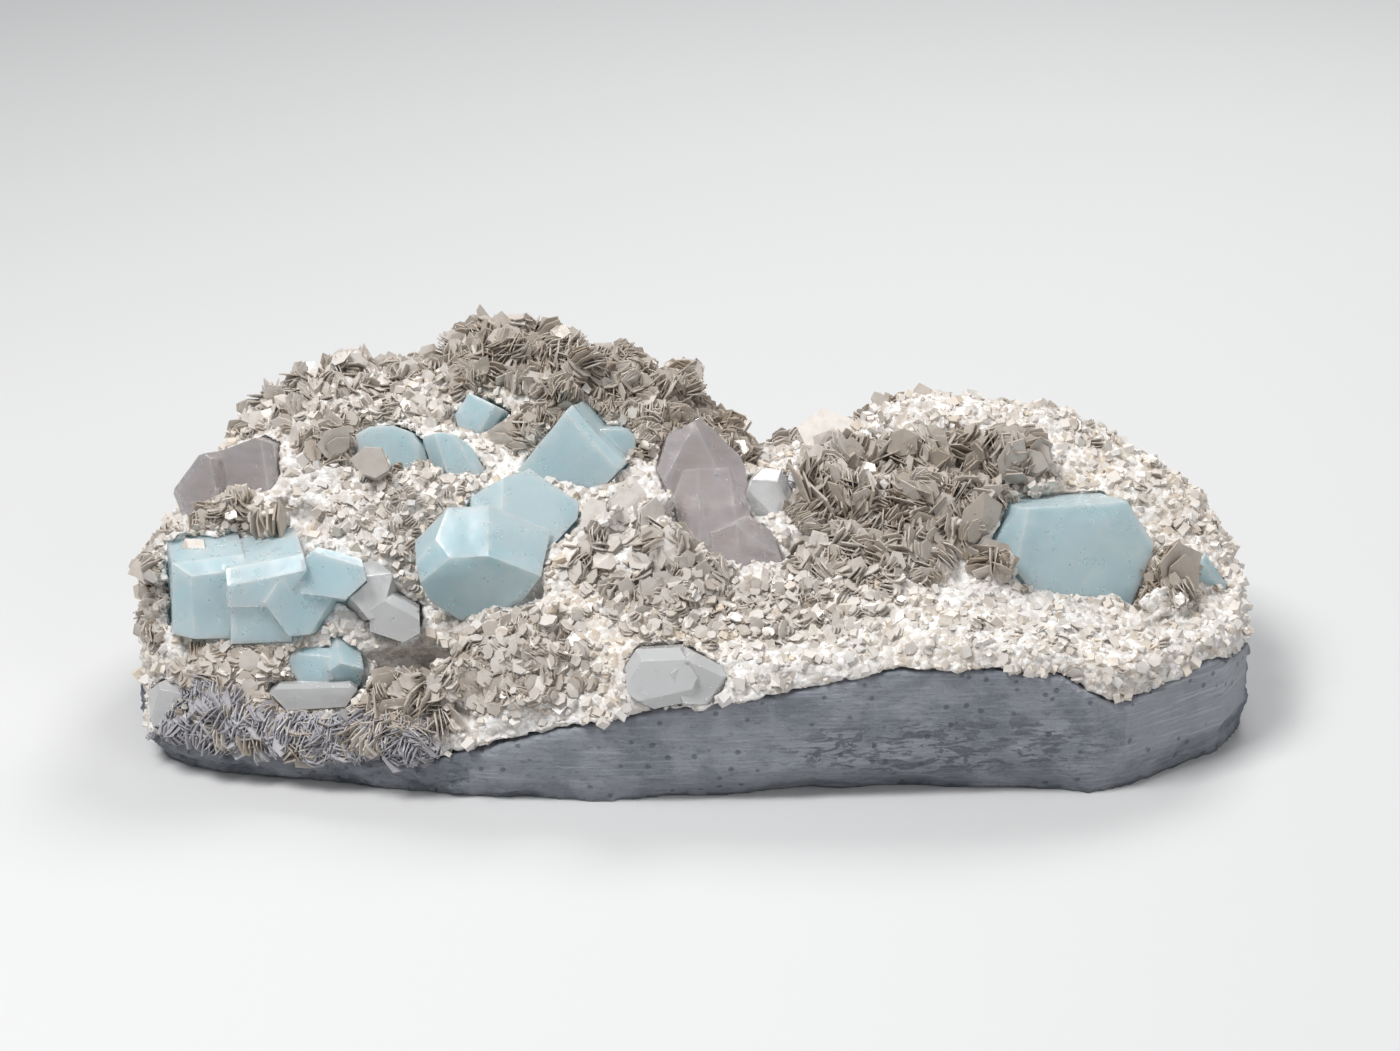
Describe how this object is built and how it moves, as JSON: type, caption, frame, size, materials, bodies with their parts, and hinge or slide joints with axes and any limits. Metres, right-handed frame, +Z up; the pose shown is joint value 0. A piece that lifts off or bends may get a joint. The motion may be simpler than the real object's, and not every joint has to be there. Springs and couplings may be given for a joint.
{
  "type": "aquamarine specimen on matrix",
  "caption": "Loose mineral specimen: pale blue aquamarine and smoky quartz crystals among leafy mica books on a pale feldspar crust over grey rock, resting on a flat bottom.",
  "frame": {"origin": "on the flat resting face, under the middle of the specimen", "axes": "+X along the specimen's length, +Y from the crystal side to the back, +Z up"},
  "size_m": [0.2992, 0.1432, 0.0911],
  "materials": {
    "grey_rock": "sawn and broken grey rock, dull",
    "pale_feldspar": "crumbly pale feldspar with mica books, dull to pearly",
    "aquamarine": "natural crystal faces, cloudy pale blue",
    "smoky_quartz": "natural and broken faces, smoky and clear",
    "pale_quartz": "broken faces, cloudy white"
  },
  "bodies": {
    "root": {"wall_rock": "grey_rock", "feldspar_crust": "pale_feldspar", "aquamarine_cluster": "aquamarine", "aquamarine_left_prism": "aquamarine", "aquamarine_lower_left": "aquamarine", "aquamarine_top": "aquamarine", "aquamarine_hexagon": "aquamarine", "aquamarine_far_right": "aquamarine", "smoky_quartz_centre": "smoky_quartz", "smoky_quartz_left": "smoky_quartz", "quartz_clear": "pale_quartz", "quartz_front_lump": "pale_quartz", "quartz_left_lumps": "pale_quartz", "quartz_lens": "pale_quartz", "quartz_low_left": "pale_quartz"}
  },
  "joints": []
}
